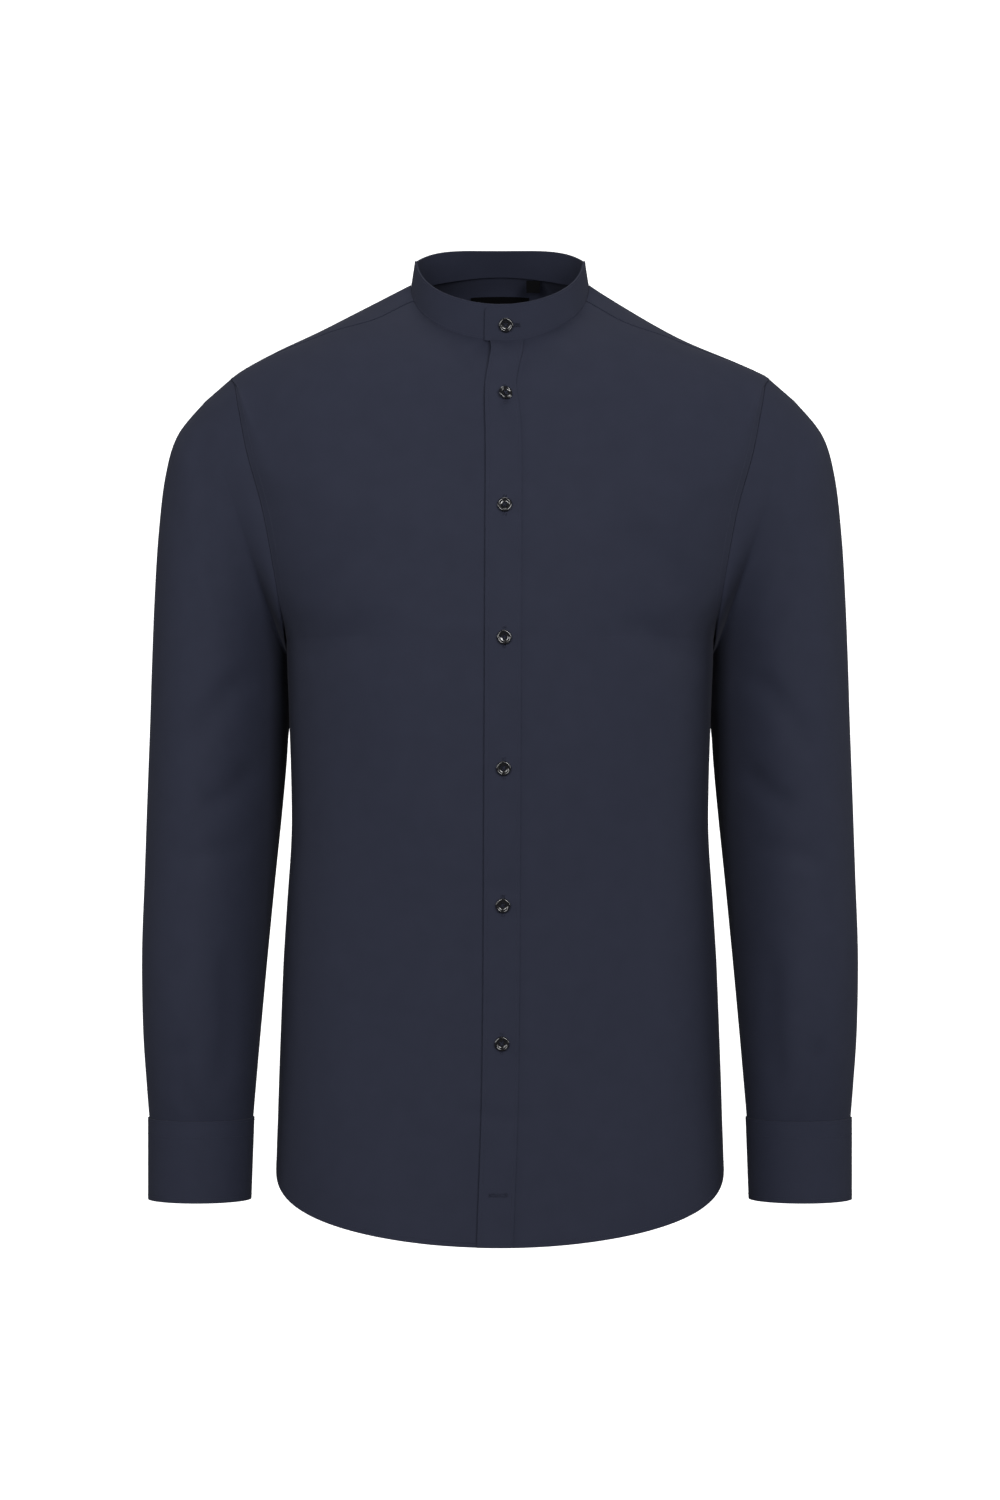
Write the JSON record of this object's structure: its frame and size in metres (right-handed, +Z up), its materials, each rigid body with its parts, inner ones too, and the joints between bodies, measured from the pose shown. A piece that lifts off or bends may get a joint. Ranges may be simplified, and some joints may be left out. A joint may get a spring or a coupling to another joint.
{
  "type": "mandarin collar shirt",
  "caption": "Long-sleeved cotton shirt with a standing band collar, a buttoned front placket, barrel cuffs and a curved hem, in its worn hollow form.",
  "frame": {"origin": "middle of the neck opening, level with the points where the shoulders meet the collar", "axes": "+Z up along the wearer, the front faces -Y, +X is the wearer's left"},
  "size_m": [0.572, 0.2544, 0.8047],
  "materials": {
    "shirt_cloth": "matte",
    "button": "gloss",
    "label": "satin"
  },
  "bodies": {
    "root": {"front_left": "shirt_cloth", "front_right": "shirt_cloth", "front_placket": "shirt_cloth", "back": "shirt_cloth", "yoke": "shirt_cloth", "collar_band": "shirt_cloth", "sleeve_left": "shirt_cloth", "sleeve_right": "shirt_cloth", "cuff_left": "shirt_cloth", "cuff_right": "shirt_cloth", "sleeve_placket_left": "shirt_cloth", "sleeve_placket_right": "shirt_cloth", "button_1": "button", "button_2": "button", "button_3": "button", "button_4": "button", "button_5": "button", "button_6": "button", "button_7": "button", "cuff_button_left": "button", "cuff_button_right": "button", "neck_label": "label", "size_tab": "label"}
  },
  "joints": []
}
